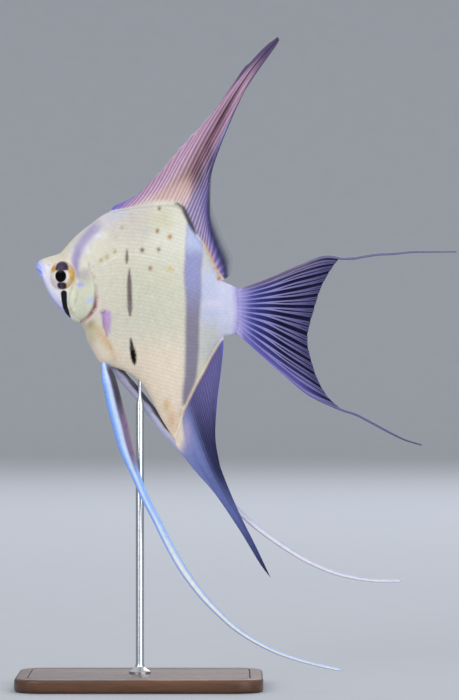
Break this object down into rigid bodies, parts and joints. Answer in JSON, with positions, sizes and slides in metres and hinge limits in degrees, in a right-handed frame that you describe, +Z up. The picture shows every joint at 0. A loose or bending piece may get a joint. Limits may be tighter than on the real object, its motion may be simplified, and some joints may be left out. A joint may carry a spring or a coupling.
{
  "type": "freshwater angelfish model",
  "caption": "Life-size still model of a tall pale freshwater angelfish with long trailing fins, held by a rod on a flat wooden display base.",
  "frame": {"origin": "centre of the underside of the stand's base, below the rod", "axes": "+Z up, the head points to -X, the tail to +X, and the fish's left side faces -Y"},
  "size_m": [0.1606, 0.056, 0.2386],
  "materials": {
    "skin": "pearly scales over ivory skin, wet-looking",
    "fin_membrane": "thin lavender rays with smoky blue skin between them",
    "pelvic_fin": "pale blue to white, glossy",
    "clear_fin": "clear skin with fine rays",
    "eye": "amber and cream iris, black pupil, clear glossy front",
    "stand_wood": "oiled walnut",
    "stand_steel": "polished rod"
  },
  "bodies": {
    "root": {"head": "skin", "lower_jaw": "skin", "gill_cover_left": "skin", "gill_cover_right": "skin", "trunk": "skin", "tail_stem": "skin", "eye_left": "eye", "eye_right": "eye", "dorsal_fin": "fin_membrane", "anal_fin": "fin_membrane", "tail_fin_upper": "fin_membrane", "tail_fin_lower": "fin_membrane", "tail_streamer_upper": "fin_membrane", "tail_streamer_lower": "fin_membrane", "pectoral_fin_left": "clear_fin", "pectoral_fin_right": "clear_fin", "pelvic_fin_left": "pelvic_fin", "pelvic_fin_right": "pelvic_fin", "pelvic_streamer_left": "pelvic_fin", "pelvic_streamer_right": "pelvic_fin", "pelvic_streamer_tip_left": "pelvic_fin", "pelvic_streamer_tip_right": "pelvic_fin", "stand_base": "stand_wood", "stand_rod": "stand_steel"}
  },
  "joints": []
}
